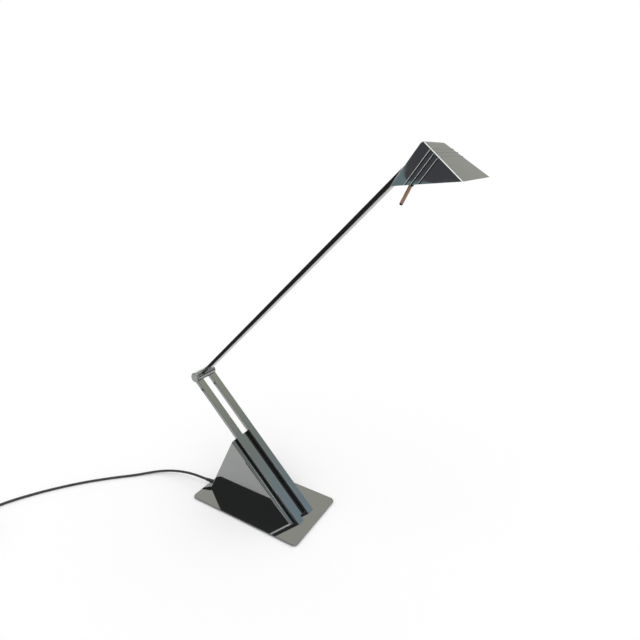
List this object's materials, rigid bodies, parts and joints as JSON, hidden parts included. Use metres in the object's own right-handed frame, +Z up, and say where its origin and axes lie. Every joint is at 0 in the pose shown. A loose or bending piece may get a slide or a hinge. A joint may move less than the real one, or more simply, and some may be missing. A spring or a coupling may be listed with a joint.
{
  "type": "desk lamp",
  "caption": "Chrome halogen desk lamp with a wedge transformer housing on a flat plate, slanting legs, a long hinged arm and a folded, tilting shade with a grip.",
  "frame": {"origin": "middle of the base pad's underside, on the surface the lamp stands on", "axes": "+X from the cord side to the light, +Y to the far side, +Z up"},
  "size_m": [0.7714, 0.5638, 0.6588],
  "materials": {
    "chrome": "mirror-polished plate",
    "steel": "plain zinc-plated steel",
    "reflector": "bright satin sheet",
    "pad": "matt, slightly textured",
    "core": "varnished laminations",
    "winding": "varnished copper wire under tape",
    "terminal": "pale, matt",
    "terminal_brass": "plain brass",
    "switch_case": "matt black",
    "switch_key": "glossy black",
    "cord": "satin black sheath",
    "plug": "matt black",
    "grip_black": "matt black",
    "grip_brown": "glossy brown",
    "bulb": "clear quartz"
  },
  "bodies": {
    "base": {"base_pad": "pad", "base_plate": "chrome", "housing_shell": "chrome", "housing_screws": "steel", "back_panel": "chrome", "panel_screws": "steel", "switch_body": "switch_case", "transformer_core": "core", "transformer_winding": "winding", "transformer_strap": "steel", "strap_screws": "steel", "terminal_block": "terminal", "terminal_screws": "terminal_brass", "near_leg": "chrome", "far_leg": "chrome", "leg_screws": "steel", "leg_spacers": "steel", "near_knuckle": "chrome", "far_knuckle": "chrome", "elbow_pin": "steel", "elbow_caps": "chrome", "elbow_washers": "steel", "cord_gland": "cord", "cord_run": "cord", "cord_coil": "cord", "coil_tie": "plug", "cord_tail": "cord", "plug_body": "plug", "plug_pins": "terminal_brass"},
    "rocker": {"switch_rocker": "switch_key"},
    "arm": {"arm_knuckle": "chrome", "arm_tube": "chrome", "arm_tongue": "steel"},
    "head": {"shade": "chrome", "head_bracket": "steel", "bracket_rivets": "steel", "head_pin": "steel", "head_nut": "steel", "head_washers": "steel", "grip_stem": "steel", "grip_collar": "grip_black", "grip_handle": "grip_brown", "grip_tip": "grip_black", "reflector": "reflector", "reflector_studs": "steel", "lamp_holder": "terminal", "bulb": "bulb"}
  },
  "joints": [
    {"name": "elbow", "type": "hinge", "parent": "base", "child": "arm", "pos_m": [-0.13688, 0, 0.23751], "axis": [0, 1, 0], "range_deg": [-40, 50]},
    {"name": "head_tilt", "type": "hinge", "parent": "arm", "child": "head", "pos_m": [0.2669, 0, 0.63929], "axis": [0, 1, 0], "range_deg": [-50, 10]},
    {"name": "switch", "type": "hinge", "parent": "base", "child": "rocker", "pos_m": [-0.08173, 0.01, 0.05258], "axis": [0, 1, 0], "range_deg": [0, 16]}
  ]
}
